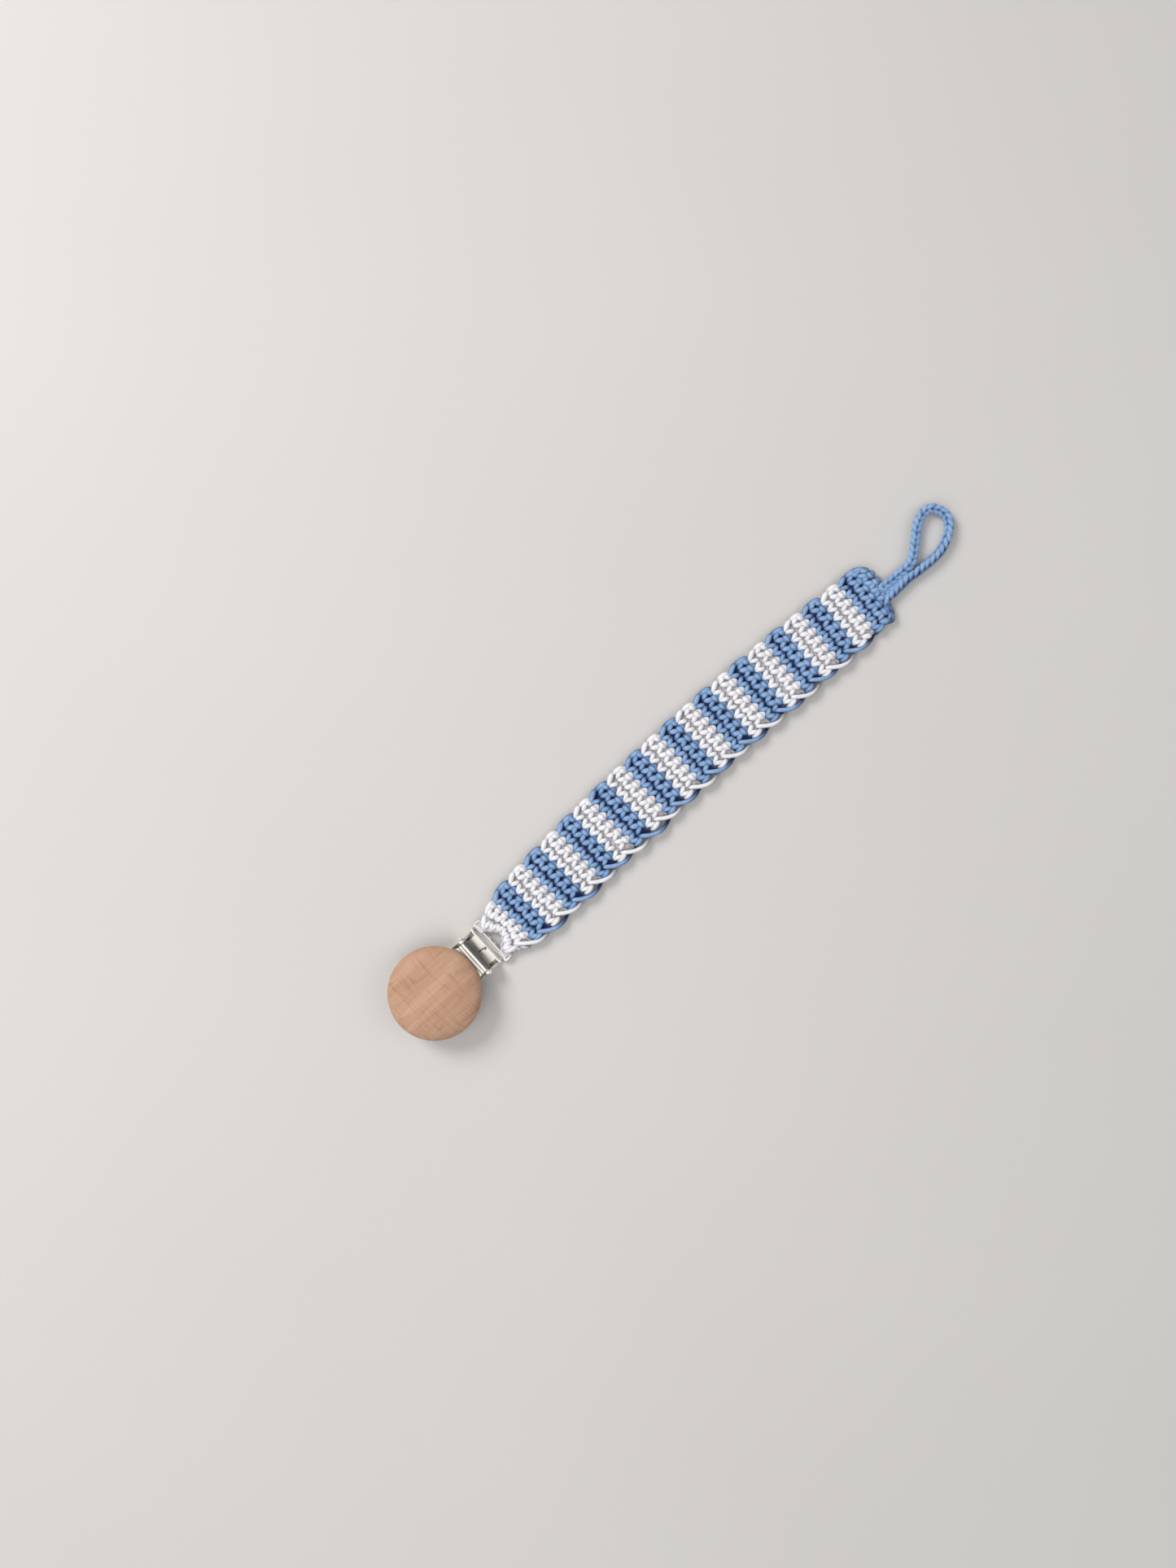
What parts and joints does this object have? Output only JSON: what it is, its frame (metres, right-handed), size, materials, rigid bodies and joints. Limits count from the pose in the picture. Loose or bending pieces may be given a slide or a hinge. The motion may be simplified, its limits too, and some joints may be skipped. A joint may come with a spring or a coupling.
{
  "type": "soother holder",
  "caption": "Striped crocheted cotton strap with a wooden-faced metal lever clip at one end and a corded loop for a soother at the other.",
  "frame": {"origin": "back face of the clip's base plate, straight below the hinge pin", "axes": "+X along the strap from the clip to the loop, +Z from the back face to the wooden face, +Y across the strap"},
  "size_m": [0.2407, 0.0305, 0.012],
  "materials": {
    "beech": "untreated sanded beech, matt",
    "clip_steel": "nickel-free plated, satin",
    "grip_plastic": "moulded, matt, slightly translucent white",
    "white_cotton": "crocheted mercerised cotton yarn, soft sheen",
    "blue_cotton": "crocheted mercerised cotton yarn, soft sheen"
  },
  "bodies": {
    "clip_base": {"base_plate": "clip_steel", "hinge_pin": "clip_steel", "back_grip": "grip_plastic"},
    "lever": {"lever_plate": "clip_steel", "wooden_disc": "beech"},
    "jaw": {"spring_jaw": "clip_steel", "front_grip": "grip_plastic"},
    "strap_1": {"strap_start": "white_cotton", "blue_stripe_01": "blue_cotton", "white_stripe_01": "white_cotton", "blue_stripe_02": "blue_cotton", "white_stripe_02": "white_cotton"},
    "strap_2": {"blue_stripe_03": "blue_cotton", "white_stripe_03": "white_cotton", "blue_stripe_04": "blue_cotton", "white_stripe_04": "white_cotton"},
    "strap_3": {"blue_stripe_05": "blue_cotton", "white_stripe_05": "white_cotton", "blue_stripe_06": "blue_cotton", "white_stripe_06": "white_cotton"},
    "strap_4": {"blue_stripe_07": "blue_cotton", "white_stripe_07": "white_cotton", "blue_stripe_08": "blue_cotton", "white_stripe_08": "white_cotton"},
    "strap_5": {"blue_stripe_09": "blue_cotton", "white_stripe_09": "white_cotton", "blue_stripe_10": "blue_cotton", "white_stripe_10": "white_cotton", "strap_end": "blue_cotton"},
    "loop": {"loop_neck": "blue_cotton", "loop_cord": "blue_cotton"}
  },
  "joints": [
    {"name": "lever_hinge", "type": "hinge", "parent": "clip_base", "child": "lever", "pos_m": [0, 0, 0.0045], "axis": [0, 1, 0], "range_deg": [0, 95]},
    {"name": "jaw_flex", "type": "hinge", "parent": "clip_base", "child": "jaw", "pos_m": [0.0041, 0, 0.0014], "axis": [0, 1, 0], "range_deg": [0, 10]},
    {"name": "strap_swivel", "type": "hinge", "parent": "clip_base", "child": "strap_1", "pos_m": [0.0065, 0, 0.00165], "axis": [0, -1, 0], "range_deg": [-60, 60]},
    {"name": "strap_fold_1", "type": "hinge", "parent": "strap_1", "child": "strap_2", "pos_m": [0.0466, 0.00189, 0.0015], "axis": [0.0437, -0.999, 0], "range_deg": [-45, 45]},
    {"name": "strap_fold_2", "type": "hinge", "parent": "strap_2", "child": "strap_3", "pos_m": [0.0764, 0.00286, 0.0015], "axis": [0.0195, -0.9998, 0], "range_deg": [-45, 45]},
    {"name": "strap_fold_3", "type": "hinge", "parent": "strap_3", "child": "strap_4", "pos_m": [0.1062, 0.003, 0.0015], "axis": [-0.0103, -0.9999, 0], "range_deg": [-45, 45]},
    {"name": "strap_fold_4", "type": "hinge", "parent": "strap_4", "child": "strap_5", "pos_m": [0.136, 0.00227, 0.0015], "axis": [-0.0371, -0.9993, 0], "range_deg": [-45, 45]},
    {"name": "loop_fold", "type": "hinge", "parent": "strap_5", "child": "loop", "pos_m": [0.1759, -0.0017, 0.0016], "axis": [0, -1, 0], "range_deg": [-50, 50]}
  ],
  "couplings": [
    {"joint": "jaw_flex", "follows": "lever_hinge", "ratio": 0.1}
  ]
}
